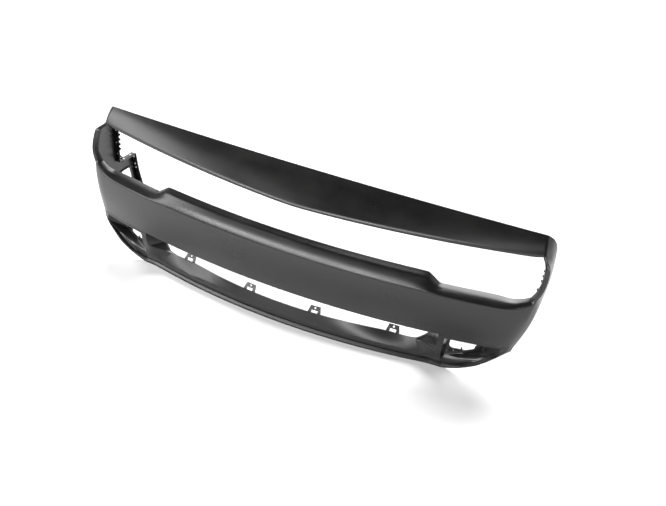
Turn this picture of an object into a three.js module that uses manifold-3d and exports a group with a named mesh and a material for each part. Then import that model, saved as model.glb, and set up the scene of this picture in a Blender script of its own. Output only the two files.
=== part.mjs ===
// Front bumper cover of a wide coupe: a thin moulded skin with its lower valance, clip rails,
// wheel-arch brackets, fog-lamp bezels and plastic fasteners.
// Millimetres, +X to the right seen from the front, -Y forward, +Z up, origin under the middle.

import * as THREE from 'three';
import { mergeVertices } from 'three/addons/utils/BufferGeometryUtils.js';
import Module from 'manifold-3d';

const wasm = await Module();
wasm.setup();

// ---------- driving dimensions ----------

const HEADER_HALF = 825;          // half width at the header's rear corners
const HEADER_FRONT_HALF = HEADER_HALF + 13;  // half width at the header's front corners
const CORNER_HALF = HEADER_HALF + 51;        // half width where the front turns into the side
const HEIGHT = 589;               // header's rear edge above the chin's lowest edge
const HEADER_BOW = 28;            // how far the header's rear edge bows forward in the middle
const NOSE_REACH = 140;           // header's front edge in the middle, ahead of its rear corners
const NOSE_SLOPE = 0.075;         // sideways slope of the arrow-shaped header edge
const NOSE_PLAN_RADIUS = 7500;    // plan radius added to that arrow shape
const NOSE_DROP = 98;             // header's front edge in the middle, below its rear edge
const HEADER_END_DROP = 61;       // the same drop at the header's ends
const HEADER_CROWN = 5;           // how much the header's skin domes between its edges

const BEAM_REACH = 205;           // beam's crease in the middle, ahead of the header's rear corners
const BEAM_PLAN_RADIUS = 2900;    // plan radius of the beam
const CREASE_DROP = 250;          // beam's crease below the header's rear edge
const BEAM_DEPTH = 165;           // beam's crease to its lower edge
const BEAM_TUCK = 20;             // how far the beam's lower edge sits behind the crease
const SHELF_DEPTH = 50;           // crease to the shelf's rear edge, front to back
const SHELF_RISE = 20;            // crease to the shelf's rear edge, upwards, at the ends
const SHELF_HUMP = 33;            // extra rise of the shelf between the headlamps
const HUMP_HALF = HEADER_HALF - 295;  // half width of that raised middle
const HUMP_RAMP = 22;             // half length of the ramp at each end of it
const CREASE_LIFT = 45;           // how far the crease climbs into the opening's end
const CORNER_RADIUS = 65;         // plan radius of the beam's outer corners
const CORNER_SWEEP = 44;          // how far those corners sweep rearwards at a full quarter turn
const CORNER_SLOPE = 0.16;        // rearward slope of the beam where the corner starts

const SIDE_FLARE = 0.09;          // how much the side opens outwards per millimetre rearwards
const SEAM_DEPTH = 90;            // side's upper rear edge behind the header's rear corners
const SEAM_RAKE = 0.16;           // rearward lean of that edge per millimetre down
const SHOULDER_DROP = 275;        // top of the side's rear extension below the header's rear edge
const ARCH_DEPTH = 212;           // wheel-arch edge behind the header's rear corners
const SIDE_SEAM_DROP = 430;       // cover-to-valance seam on the side, below the header's rear edge

const INTAKE_HALF = HEADER_HALF - 237;  // half width of the lower intake at its front
const FUNNEL_DEPTH = 64;          // how far the intake's end wall runs back to its rear rim
const PILLAR_WIDTH = 28;          // pillar between the intake and the fog-lamp pocket
const POCKET_END = CORNER_HALF - 76;  // outer tip of the fog-lamp pocket from the middle
const POCKET_DEPTH = 62;          // how far the pocket's wall sits behind the beam's edge
const VALANCE_REACH = 141;        // intake's lower edge in the middle, ahead of the header corners
const INTAKE_SILL_DROP = HEIGHT - 86;  // intake's lower edge below the header's rear edge
const RIDGE_DROP = HEIGHT - 46;   // valance's front ridge below the header's rear edge

const SKIN = 3;                   // wall thickness of the cover
const VALANCE_SKIN = 2.8;         // wall thickness of the valance
const GAP = 0.3;                  // gap between touching pieces
const SEAM_GAP = 0.14 * SKIN;      // gap between the cover's lower edge and the valance
const FLANGE = 22;                // width of the turned-in joining flanges
const SEAM_FLANGE = 18;           // width of the flanges along the fender seam
const ARCH_FLANGE = 24;           // width of the wheel-arch flange
const MARKER_FRAME = 9;           // depth of the sleeve round the side-marker opening
const SILL_LIP = 14;              // height of the lip turned down behind the intake's sill

const MERGE_DISTANCE = 2e-3;      // points closer than this are one point
const DRILL_SIDES = 8;            // sides of a drilled hole
const CURVE_STEPS = 4;            // straight pieces per curve of an outline

const SEAM_Y_AT_SHOULDER = SEAM_DEPTH + 8;
const ARCH_LEAN = 0.12;           // rearward lean of the wheel-arch edge per millimetre down
const FRONT_Y = -BEAM_REACH - 1;
const REAR_Y = ARCH_DEPTH + ARCH_LEAN * (SIDE_SEAM_DROP - SHOULDER_DROP);
const MIDDLE_Y = (FRONT_Y + REAR_Y) / 2;

// ---------- small helpers ----------

const v3 = (x, y, z) => new THREE.Vector3(x, y, z);
const lerp = THREE.MathUtils.lerp;
const smooth = (x, from, to) => THREE.MathUtils.smoothstep(x, from, to);
const height = (drop) => HEIGHT - drop;

/** A closed geometry as a manifold solid. */
function solid(geometry) {
  const bare = geometry.index ? geometry.toNonIndexed() : geometry.clone();
  bare.deleteAttribute('normal');
  bare.deleteAttribute('uv');
  const merged = mergeVertices(bare, MERGE_DISTANCE);
  return new wasm.Manifold(new wasm.Mesh({
    numProp: 3,
    vertProperties: new Float32Array(merged.attributes.position.array),
    triVerts: new Uint32Array(merged.index.array),
  }));
}

/** A manifold solid as a geometry with its own flat faces. */
function geometryOf(body) {
  const mesh = body.getMesh();
  const geometry = new THREE.BufferGeometry();
  geometry.setAttribute('position', new THREE.BufferAttribute(new Float32Array(mesh.vertProperties), 3));
  geometry.setIndex(new THREE.BufferAttribute(new Uint32Array(mesh.triVerts), 1));
  return geometry.toNonIndexed();
}

function moved(geometry, position, rotation = new THREE.Euler()) {
  const turned = new THREE.Quaternion().setFromEuler(rotation);
  return geometry.applyMatrix4(new THREE.Matrix4().compose(position, turned, v3(1, 1, 1)));
}

/** A flat outline pushed along its normal, centred on its own plane. */
function plate(outline, thickness) {
  const shape = outline instanceof THREE.Shape ? outline : new THREE.Shape(outline);
  const settings = { depth: thickness, bevelEnabled: false, curveSegments: CURVE_STEPS };
  return new THREE.ExtrudeGeometry(shape, settings).translate(0, 0, -thickness / 2);
}

/** A straight drill between two points. */
function drill(from, to, radius) {
  const axis = to.clone().sub(from);
  const rod = new THREE.CylinderGeometry(radius, radius, axis.length(), DRILL_SIDES);
  const turn = new THREE.Quaternion().setFromUnitVectors(v3(0, 1, 0), axis.clone().normalize());
  const middle = from.clone().add(to).multiplyScalar(0.5);
  return solid(rod.applyMatrix4(new THREE.Matrix4().compose(middle, turn, v3(1, 1, 1))));
}

/** The same point on the other side of the middle plane. */
function mirrorPoint(point) {
  return v3(-point.x, point.y, point.z);
}

/** An open sheet of four-sided faces that can be mirrored and given a thickness. */
class Sheet {
  constructor() {
    this.points = [];
    this.lookup = new Map();
    this.faces = [];
  }

  index(point) {
    const key = [point.x, point.y, point.z].map((n) => Math.round(n * 1000)).join(',');
    if (!this.lookup.has(key)) {
      this.lookup.set(key, this.points.length);
      this.points.push(point.clone());
    }
    return this.lookup.get(key);
  }

  /** Adds a face and its mirror image across the middle plane. */
  face(...corners) {
    this.faces.push(corners.map((p) => this.index(p)));
    this.faces.push(corners.map((p) => this.index(mirrorPoint(p))).reverse());
  }

  /** Faces between two lines of points, the first line above or outside the second. */
  strip(upper, lower) {
    for (let i = 0; i + 1 < upper.length; i += 1) {
      this.face(upper[i], lower[i], lower[i + 1], upper[i + 1]);
    }
  }

  /** Faces from an edge back to its flange, cut along the same diagonals as a strip below an edge. */
  seam(edge, flange) {
    for (let i = 0; i + 1 < edge.length; i += 1) {
      this.face(edge[i], edge[i + 1], flange[i + 1], flange[i]);
    }
  }

  /** Faces over a table of points, without the cells that skip() names. */
  table(rows, skip) {
    for (let r = 0; r + 1 < rows.length; r += 1) {
      for (let c = 0; c + 1 < rows[r].length; c += 1) {
        const corners = [rows[r][c], rows[r + 1][c], rows[r + 1][c + 1], rows[r][c + 1]];
        if (!skip(r, c) && corners.every((p) => p)) {
          this.face(...corners);
        }
      }
    }
  }

  faceNormal(face) {
    const [a, b, c, d] = face.map((i) => this.points[i]);
    return c.clone().sub(a).cross(d.clone().sub(b)).normalize();
  }

  /** The closed solid between this sheet and a copy set back by the thickness. */
  thicken(thickness) {
    const sums = this.points.map(() => v3(0, 0, 0));
    const touching = this.points.map(() => []);
    for (const face of this.faces) {
      const normal = this.faceNormal(face);
      for (const i of face) {
        sums[i].add(normal);
        touching[i].push(normal);
      }
    }
    const inner = this.points.map((point, i) => {
      const direction = sums[i].normalize();
      const spread = touching[i].reduce((sum, n) => sum + n.dot(direction), 0) / touching[i].length;
      return point.clone().addScaledVector(direction, -thickness / Math.max(spread, 0.62));
    });
    const count = this.points.length;
    const index = [];
    const quad = (a, b, c, d) => index.push(a, b, c, a, c, d);
    const open = new Map();
    for (const face of this.faces) {
      const [a, b, c, d] = face;
      quad(a, b, c, d);
      quad(d + count, c + count, b + count, a + count);
      face.forEach((from, k) => open.set(`${from},${face[(k + 1) % 4]}`, [from, face[(k + 1) % 4]]));
    }
    for (const [from, to] of open.values()) {
      if (!open.has(`${to},${from}`)) {
        quad(to, from, from + count, to + count);
      }
    }
    const geometry = new THREE.BufferGeometry();
    const all = [...this.points, ...inner].flatMap((p) => [p.x, p.y, p.z]);
    geometry.setAttribute('position', new THREE.BufferAttribute(new Float32Array(all), 3));
    geometry.setIndex(index);
    return geometry;
  }
}

// ---------- lines of the cover, right half ----------

const FRONT_STATIONS = [0, 0.1, 0.2, 0.3, 0.4, 0.5, 0.596, 0.648, 0.72, 0.79, 0.87, 0.93, 0.97, 1];
const CORNER_STATION = FRONT_STATIONS.length - 1;
const CORNER_TURN = THREE.MathUtils.degToRad(40);
const SIDE_Y = -18;

const WIDEST_DROP = 240;          // level at which the side is widest
const UPPER_TUCK = { inward: 14, over: 180 };   // how far it closes in above that level
const LOWER_TUCK = { inward: 26, over: 170 };   // and below it

/** Half width of the side surface at a drop below the header's rear edge. */
function sideHalf(drop) {
  const below = drop - WIDEST_DROP;
  const { inward, over } = below < 0 ? UPPER_TUCK : LOWER_TUCK;
  return CORNER_HALF - inward * (below / over) ** 2;
}

/** Side surface point at a depth and a drop. */
function sidePoint(y, drop) {
  return v3(sideHalf(drop) + SIDE_FLARE * (y - SIDE_Y), y, height(drop));
}

/** Depth of the header's front edge at a distance from the middle. */
function noseEdgeY(x) {
  return -NOSE_REACH + NOSE_SLOPE * x + x * x / (2 * NOSE_PLAN_RADIUS);
}

const CROWN_DIRECTION = v3(0, -0.7, 0.7);

/** Header point: part 0 at the rear edge, 1 at the front edge. */
function headerPoint(station, part) {
  const x = station * lerp(HEADER_HALF, HEADER_FRONT_HALF, part);
  const rear = v3(x, -HEADER_BOW * (1 - station ** 2), HEIGHT);
  const frontDrop = lerp(NOSE_DROP, HEADER_END_DROP, station ** 2);
  const front = v3(x, noseEdgeY(x), height(frontDrop));
  const crown = HEADER_CROWN * 4 * part * (1 - part);
  return rear.lerp(front, part).addScaledVector(CROWN_DIRECTION, crown);
}

/** Plan line of the beam at one level, with its rounded corner. */
function beamPoint(station, setback, drop, half) {
  const straight = half - CORNER_RADIUS;
  const cornerX = straight + CORNER_RADIUS * Math.sin(CORNER_TURN);
  const x = station * cornerX;
  const turn = Math.asin(Math.max(0, x - straight) / CORNER_RADIUS);
  const flatX = Math.min(x, straight);
  const bow = flatX ** 2 / (2 * BEAM_PLAN_RADIUS) + (x - flatX) * CORNER_SLOPE;
  return v3(x, -BEAM_REACH + setback + bow + CORNER_SWEEP * (1 - Math.cos(turn)), height(drop));
}

/** Crease height: level along the beam and lifting into the opening's rounded end. */
function creaseDrop(station) {
  return CREASE_DROP - CREASE_LIFT * smooth(station, 0.9, 1.03) ** 1.4;
}

/** Upper rear edge of the side, where the fender meets it. */
function seamPoint(drop) {
  const y = SEAM_Y_AT_SHOULDER - SEAM_RAKE * (SHOULDER_DROP - drop);
  return sidePoint(y, drop);
}

const SIDE_BULGE = 11;            // how much the side swells out beside the header
const BULGE_SHAPE = [0.5, 0.9, 1, 0.6, 0];      // its share at each point from corner to seam
const BEND_SHARE = 0.3;           // share of the side's run taken by the bend at the corner
const KNEE = v3(0.72, 0.4, 0.5);  // how far along that bend its middle point lies, per axis

/** Points from the corner to the rear seam: a short bend, then the flat side. */
function sideRun(corner, seam, bend) {
  const start = corner.clone().lerp(seam, BEND_SHARE);
  start.z = lerp(start.z, seam.z, bend ** 4);
  const onSide = v3(sideHalf(HEIGHT - start.z), SIDE_Y, start.z);
  start.lerp(onSide, bend);
  const knee = start.clone().sub(corner).multiply(KNEE).add(corner);
  knee.lerp(corner.clone().lerp(start, 0.5), 1 - bend);
  const run = [knee, start, start.clone().lerp(seam, 0.36), start.clone().lerp(seam, 0.7), seam];
  const swell = SIDE_BULGE * (1 - bend) ** 2;
  return run.map((point, i) => point.add(v3(swell * BULGE_SHAPE[i], 0, swell * BULGE_SHAPE[i])));
}

const REAR_EXTENSION = [0.32, 0.66, 1];         // columns between the fender seam and the arch

/** One full line of the cover from the middle to its rear edge. */
function coverRow({ front, corner, seamDrop, bend, extended }) {
  const line = FRONT_STATIONS.map((station) => (front ? front(station) : null));
  const cornerPoint = corner ?? line[CORNER_STATION];
  line[CORNER_STATION] = cornerPoint;
  const seam = seamPoint(seamDrop);
  line.push(...sideRun(cornerPoint, seam, bend));
  for (const share of REAR_EXTENSION) {
    const archY = ARCH_DEPTH + ARCH_LEAN * (seamDrop - SHOULDER_DROP);
    line.push(extended ? sidePoint(lerp(seam.y, archY, share), seamDrop) : null);
  }
  return line;
}

/** Outer edge of the upper opening's end, from the header's corner down to the crease. */
function openingEnd() {
  const crease = beamPoint(1, 0, creaseDrop(1), CORNER_HALF);
  const top = headerPoint(1, 1);
  return new THREE.CatmullRomCurve3([
    top,
    v3(HEADER_FRONT_HALF + 26, top.y - 26, top.z - 24),
    v3(HEADER_FRONT_HALF + 33, top.y - 35, top.z - 66),
    v3(HEADER_FRONT_HALF + 29, crease.y - 3, top.z - 110),
    crease,
  ]);
}

const HEADER_PARTS = [0, 0.34, 0.68, 1];        // rows of the header, rear to front
const END_STEPS = [0.25, 0.5, 0.75];            // rows beside the opening's end

/** Level at which each of those rows, and the crease, meets the fender seam. */
const HEADER_SEAM_DROPS = [88, 104, 120, 136];
const END_SEAM_DROPS = [156, 178, 202];
const CREASE_SEAM_DROP = 232;

/** Levels of the beam's face: share of its depth, setback and seam drop on the side. */
const FACE_LEVELS = [
  { share: 0.17, setback: -1, seamDrop: SHOULDER_DROP },
  { share: 0.42, setback: 1, seamDrop: 327 },
  { share: 0.7, setback: 8, seamDrop: 377 },
  { share: 1, setback: BEAM_TUCK, seamDrop: SIDE_SEAM_DROP },
];

function coverRows() {
  const end = openingEnd();
  const header = HEADER_PARTS.map((part, i) => coverRow({
    front: (station) => headerPoint(station, part),
    seamDrop: HEADER_SEAM_DROPS[i],
    bend: 0,
  }));
  const ends = END_STEPS.map((step, i) => coverRow({
    corner: end.getPoint(step),
    seamDrop: END_SEAM_DROPS[i],
    bend: 0.35 + 0.3 * step,
  }));
  const crease = coverRow({
    front: (station) => beamPoint(station, 0, creaseDrop(station), CORNER_HALF),
    seamDrop: CREASE_SEAM_DROP,
    bend: 0.8,
  });
  const face = FACE_LEVELS.map(({ share, setback, seamDrop }) => coverRow({
    front: (station) => {
      const lower = CREASE_DROP + share * BEAM_DEPTH;
      const drop = lower - (1 - share) * (CREASE_DROP - creaseDrop(station));
      return beamPoint(station, setback, drop, sideHalf(lower));
    },
    seamDrop,
    bend: 1,
    extended: true,
  }));
  return [...header, ...ends, crease, ...face];
}

const FIRST_END_ROW = HEADER_PARTS.length;
const CREASE_ROW = FIRST_END_ROW + END_STEPS.length;
const SHOULDER_ROW = CREASE_ROW + 1;
const LAST_ROW = CREASE_ROW + FACE_LEVELS.length;
const SEAM_COLUMN = CORNER_STATION + 5;
const ARCH_COLUMN = SEAM_COLUMN + REAR_EXTENSION.length;

// ---------- turned-in flanges of the cover ----------

/** Inward steps of the frame round the upper opening, for its top, end and bottom edges. */
const FRAME_STEPS = [
  { top: [0, 2, -8], end: [-6, 1, 0], shelf: [0.2, 0.42] },
  { top: [0, 8, -11], end: [-11, 3, 0], shelf: [0.52, 0.8] },
  { top: [0, 16, -12], end: [-16, 6, 0], shelf: [1, 1] },
  { top: [0, 23, -13], end: [-18, 13, 0], shelf: [1.1, 0.76] },
];

const SHELF_CONVERGE = 0.014;     // how much shorter the shelf's rear edge is than the crease
const SHELF_START = [0.3, 0.52, 0.78];          // share of the shelf at its outermost points

/** Rise of the shelf's rear edge: low before the headlamps, raised between them. */
function shelfRise(x) {
  return SHELF_RISE + SHELF_HUMP * (1 - smooth(Math.abs(x), HUMP_HALF - HUMP_RAMP, HUMP_HALF + HUMP_RAMP));
}

/** Rim point moved inwards by one step, blended between the opening's three sides. */
function frameStep(point, step, topShare, shelfShare) {
  const endShare = 1 - topShare - shelfShare;
  const [across, up] = step.shelf;
  const shelf = [-SHELF_CONVERGE * point.x, across * SHELF_DEPTH, up * shelfRise(point.x)];
  const offset = [0, 1, 2].map((k) => (
    topShare * step.top[k] + shelfShare * shelf[k] + endShare * step.end[k]));
  return point.clone().add(v3(...offset));
}

/** Frame round the upper opening: lip under the header, end bands and the beam's shelf. */
function addOpeningFrame(sheet, rows) {
  const headerEdge = rows[FIRST_END_ROW - 1].slice(0, CORNER_STATION + 1);
  const endEdge = rows.slice(FIRST_END_ROW, CREASE_ROW).map((row) => row[CORNER_STATION]);
  const creaseEdge = rows[CREASE_ROW].slice(0, CORNER_STATION + 1).reverse();
  const rim = [
    ...headerEdge.map((point, i) => ({ point, top: i === CORNER_STATION ? 0.45 : 1, shelf: 0 })),
    ...endEdge.map((point, i) => ({ point, top: 0, shelf: 0.08 * i })),
    ...creaseEdge.map((point, i) => ({ point, top: 0, shelf: SHELF_START[i] ?? 1 })),
  ];
  let outer = rim.map(({ point }) => point);
  for (const step of FRAME_STEPS) {
    const inner = rim.map(({ point, top, shelf }) => frameStep(point, step, top, shelf));
    sheet.strip(outer, inner);
    outer = inner;
  }
}

/** Inward direction, in plan, along a line of points that ends at the rear of the side. */
function inwardAt(line, i) {
  const before = line[Math.max(i - 1, 0)];
  const after = line[Math.min(i + 1, line.length - 1)];
  const along = after.clone().sub(before).setZ(0).normalize();
  if (i === 0) {
    return v3(0, 1, 0);
  }
  return i === line.length - 1 ? v3(-1, 0, 0) : v3(-along.y, along.x, 0);
}

/** Flat flange turned in from a line, keeping each point's own height. */
function flangeLine(line, width) {
  return line.map((point, i) => point.clone().addScaledVector(inwardAt(line, i), width));
}

const HEADER_HEM = v3(0, 4, -9);  // hem turned down behind the header's rear edge

function coverSheet() {
  const rows = coverRows();
  const sheet = new Sheet();
  const markerTop = SHOULDER_ROW + 1;
  sheet.table(rows, (r, c) => (
    (r >= FIRST_END_ROW - 1 && r < CREASE_ROW && c < CORNER_STATION)
    || (r < SHOULDER_ROW && c >= SEAM_COLUMN)
    || (r === markerTop && c >= SEAM_COLUMN && c < ARCH_COLUMN - 1)));
  addOpeningFrame(sheet, rows);

  const lowerEdge = rows[LAST_ROW];
  sheet.strip(lowerEdge, flangeLine(lowerEdge, FLANGE));

  const rearEdge = rows[0].slice(0, CORNER_STATION + 1);
  sheet.strip(rearEdge.map((p) => p.clone().add(HEADER_HEM)), rearEdge);

  const seamEdge = rows.slice(0, SHOULDER_ROW + 1).map((row) => row[SEAM_COLUMN]);
  sheet.strip(seamEdge.map((p) => p.clone().add(v3(-SEAM_FLANGE, 0, 0))), seamEdge);

  const archEdge = rows.slice(SHOULDER_ROW).map((row) => row[ARCH_COLUMN]);
  sheet.strip(archEdge.map((p) => p.clone().add(v3(-ARCH_FLANGE, 0, 0))), archEdge);

  const shoulder = rows[SHOULDER_ROW].slice(SEAM_COLUMN);
  sheet.strip(shoulder.map((p) => p.clone().add(v3(-SEAM_FLANGE, 0, 0))), shoulder);

  addMarkerFrame(sheet, rows, markerTop);
  return { sheet, rows };
}

/** Short sleeve turned in round the side-marker opening. */
function addMarkerFrame(sheet, rows, top) {
  const last = ARCH_COLUMN - 1;
  const ring = [
    ...rows[top].slice(SEAM_COLUMN, last + 1),
    ...rows[top + 1].slice(SEAM_COLUMN, last + 1).reverse(),
  ];
  ring.push(ring[0]);
  sheet.strip(ring, ring.map((p) => p.clone().add(v3(-MARKER_FRAME, 0, 0))));
}

// ---------- lower valance ----------

const VALANCE_STATIONS = [0, 0.13, 0.26, 0.39, 0.52, 0.65, 0.77, 0.88, 0.95, 1];
const INTAKE_COLUMN = VALANCE_STATIONS.length - 1;
const POCKET_START = INTAKE_HALF + PILLAR_WIDTH; // inner edge of the fog-lamp pocket
const WALL_START = POCKET_START + 5;             // inner end of the pocket's wall
const WALL_END = POCKET_END - 54;                // outer end of the pocket's wall
const FOG_HALF = 54;                             // half width of the fog-lamp opening
const FOG_X = WALL_START + 3 + FOG_HALF;         // its middle
const WALL_SLOPE = 0.27;                         // how the pocket's wall runs back with x
const BOTTOM_RISE_START = POCKET_START + 4;      // where the chin starts to rise, from the middle
const BOTTOM_RISE = 156;                         // its rise over the length below
const BOTTOM_RISE_RUN = 210;
const BOTTOM_RISE_POWER = 1.6;                   // how late the rise steepens
const BOTTOM_FLANGE = 14;                        // width of the flange turned in under the chin
const FOLD_ROOM = 8;                             // height kept clear of levels beside a flange
const MOST_FOLD_SHARE = 0.36;                    // that height's largest share of a low wall
const STRIP_TUCK = 3;                            // how far that strip leans in at its foot
const SIDE_STRIP = 12;                           // height of the valance along the side
const CHIN_PLAN_RADIUS = 2300;                   // plan radius of the chin
const SILL_SWEEP = 36;                           // how much more the sill bows than the chin

/** Beam's lower edge: depth at a distance from the middle. */
function beamEdge(x) {
  const half = sideHalf(CREASE_DROP + BEAM_DEPTH);
  const cornerX = half - CORNER_RADIUS + CORNER_RADIUS * Math.sin(CORNER_TURN);
  return beamPoint(x / cornerX, BEAM_TUCK, CREASE_DROP + BEAM_DEPTH, half).y;
}

function wallY(x) {
  return beamEdge(FOG_X) + POCKET_DEPTH + WALL_SLOPE * (x - FOG_X);
}

/** Lowest edge of the valance above the ground plane of the part. */
function bottomZ(x) {
  const reach = Math.max(0, x - BOTTOM_RISE_START) / BOTTOM_RISE_RUN;
  return Math.min(BOTTOM_RISE * reach ** BOTTOM_RISE_POWER, HEIGHT - SIDE_SEAM_DROP - SIDE_STRIP);
}

function chinY(x) {
  const middle = -VALANCE_REACH - 4 + x ** 2 / (2 * CHIN_PLAN_RADIUS);
  return lerp(middle, beamEdge(Math.min(x, POCKET_END)) + 8, smooth(x, INTAKE_HALF - 28, POCKET_END - 20));
}

/** Drop of a line between the intake's sill and the ridge below it. */
function belowSill(share) {
  return lerp(INTAKE_SILL_DROP, RIDGE_DROP, share);
}

/**
 * Levels of the valance, top to bottom. share: share of its height beside the intake; depth: share
 * of the pocket's depth; chin: setback of the front face; end: how far the intake's rear rim lies
 * inside its front; intake: setback, drop and share of the sill's extra bow in front of the intake.
 */
const VALANCE_LEVELS = [
  { share: 0, depth: 0, chin: 0, end: 28 },
  { share: 0.02, depth: 0, chin: 0, end: 28 },
  { share: 0.055, depth: 1, chin: 0, end: 29 },
  { share: 0.17, depth: 1, chin: 0, end: 33 },
  { share: 0.34, depth: 1, chin: 0, end: 46 },
  { share: 0.47, depth: 1, chin: 0, end: 76, intake: { setback: 6, drop: INTAKE_SILL_DROP, bow: 1 } },
  { share: 0.6, depth: 1, chin: -2, end: 62, intake: { setback: 1, drop: belowSill(0.45), bow: 0.45 } },
  { share: 0.69, depth: 1, chin: -4, end: 50, intake: { setback: -3, drop: belowSill(0.8), bow: 0.15 } },
  { share: 0.78, depth: 0.62, chin: -5, end: 40, intake: { setback: -5, drop: RIDGE_DROP, bow: 0 } },
  { share: 0.86, depth: 0.42, chin: -2, end: 24, intake: { setback: -2, drop: RIDGE_DROP + 13, bow: 0 } },
  { share: 0.95, depth: 0.2, chin: 7, end: 12, intake: { setback: 7, drop: HEIGHT - 16, bow: 0 } },
  { share: 0.995, depth: 0.05, chin: 0, end: 5, intake: { setback: 0, drop: HEIGHT - 7, bow: 0 } },
  { share: 1, depth: 0, chin: 2, end: 0, intake: { setback: 2, drop: HEIGHT, bow: 0 } },
];
const SILL_ROW = VALANCE_LEVELS.findIndex((level) => level.intake);
const FOG_TOP_ROW = 3;
const FOG_BOTTOM_ROW = SILL_ROW + 1;

/** A level's share of a wall's height, kept clear of the flanges at its top and foot. */
function clearShare(wallHeight, share) {
  const room = Math.min(MOST_FOLD_SHARE, FOLD_ROOM / wallHeight);
  return share > 0 && share < 1 ? lerp(room, 1 - room, share) : share;
}

/** Height of a level between a wall's top and its foot. */
function levelZ(top, low, share) {
  return lerp(top, low, clearShare(top - low, share));
}

function intakePoint(level, station) {
  const x = station * (INTAKE_HALF - level.end);
  const { setback, drop, bow } = level.intake;
  const sweep = bow * SILL_SWEEP * station ** 2 * (1 - 0.7 * smooth(station, 0.75, 1));
  return v3(x, chinY(x) + setback + sweep, height(drop));
}

/** Point between the intake and the corner, recessed in the pocket. */
function pocketPoint(level, x, depth) {
  const top = height(CREASE_DROP + BEAM_DEPTH) - SEAM_GAP;
  const z = levelZ(top, bottomZ(x), level.share);
  const front = lerp(beamEdge(x), chinY(x), smooth(level.share, 0, 1)) + level.chin;
  return v3(x, lerp(front, wallY(x), depth * level.depth), z);
}

/** Rear rim of the intake's end, above its sill. */
function endRimPoint(level) {
  return pocketPoint(level, INTAKE_HALF - level.end, 0).add(v3(0, FUNNEL_DEPTH, 0));
}

const POCKET_COLUMNS = [
  { x: INTAKE_HALF, depth: 0 },
  { x: POCKET_START - 5, depth: 0 },
  { x: WALL_START - 3, depth: 0.75 },
  { x: WALL_START, depth: 1 },
  { x: FOG_X - FOG_HALF, depth: 1 },
  { x: FOG_X, depth: 1 },
  { x: FOG_X + FOG_HALF, depth: 1 },
  { x: WALL_END, depth: 1 },
  { x: lerp(WALL_END, POCKET_END, 0.5), depth: 0.5 },
];
const FOG_COLUMN = INTAKE_COLUMN + 5;
const CHIN_FADE = [0.8, 0.05];                   // how the chin's profile dies out round the corner

/** Line of the valance at one level: intake, pillar, pocket, corner and side. */
function valanceRow(level, coverEdge) {
  const line = VALANCE_STATIONS.map((station) => (level.intake ? intakePoint(level, station) : null));
  if (!level.intake) {
    line[INTAKE_COLUMN] = endRimPoint(level);
  }
  line.push(...POCKET_COLUMNS.map(({ x, depth }) => pocketPoint(level, x, depth)));
  coverEdge.slice(CORNER_STATION - 1).forEach((edge, i, run) => {
    const inward = inwardAt(run, Math.max(i, 1));
    const top = edge.z - SEAM_GAP;
    const share = clearShare(top - bottomZ(edge.x), level.share);
    const setback = level.chin * (CHIN_FADE[i] ?? 0) + STRIP_TUCK * share;
    const z = lerp(top, bottomZ(edge.x), share);
    line.push(edge.clone().addScaledVector(inward, setback).setZ(z));
  });
  return line;
}

/** Rim turned back round the intake: down behind the sill, rearwards at its ends. */
const INTAKE_RIM_STEPS = [
  { sillStep: v3(0, 7, -3), endStep: v3(3.5, 11, 0) },
  { sillStep: v3(0, 10, -SILL_LIP), endStep: v3(5, 14, 0) },
];

function valanceSheet(coverEdge) {
  const rows = VALANCE_LEVELS.map((level) => valanceRow(level, coverEdge));
  const sheet = new Sheet();
  sheet.table(rows, (r, c) => (
    (r < SILL_ROW && c < INTAKE_COLUMN)
    || (r >= FOG_TOP_ROW && r < FOG_BOTTOM_ROW && c >= FOG_COLUMN && c < FOG_COLUMN + 2)));

  const top = rows[0];
  const pillar = top.slice(INTAKE_COLUMN + 1, INTAKE_COLUMN + 3);
  const back = (p) => p.clone().add(v3(0, FLANGE, 0));
  sheet.seam(pillar, pillar.map(back));
  const corner = top.slice(INTAKE_COLUMN + POCKET_COLUMNS.length + 1);
  sheet.seam(corner, flangeLine(corner, FLANGE));

  const bottom = rows[rows.length - 1];
  sheet.strip(bottom, flangeLine(bottom, BOTTOM_FLANGE));
  const sill = rows[SILL_ROW].slice(0, INTAKE_COLUMN + 1);
  const end = rows.slice(1, SILL_ROW).map((row) => row[INTAKE_COLUMN]).reverse();
  const rim = [...sill, ...end];
  let outer = rim;
  for (const { sillStep, endStep } of INTAKE_RIM_STEPS) {
    const inner = rim.map((p, i) => p.clone().add(i < sill.length - 1 ? sillStep : endStep));
    sheet.strip(inner, outer);
    outer = inner;
  }
  return sheet;
}

// ---------- grille tabs on the sill ----------

const TAB_XS = [134, 424];
const TAB_TILT = 0.95;            // how far the tabs stand up from level, in radians
const TAB = { base: 54, tip: 38, reach: 34, thickness: 3, window: 24, windowDepth: 13, rim: 4, hole: 4 };
const TAB_SETBACK = 7.4;          // tab's foot behind the sill's front edge

/** Sill point under which a tab sits. */
function sillPoint(x) {
  const level = VALANCE_LEVELS[SILL_ROW];
  return intakePoint(level, x / (INTAKE_HALF - level.end));
}

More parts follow.
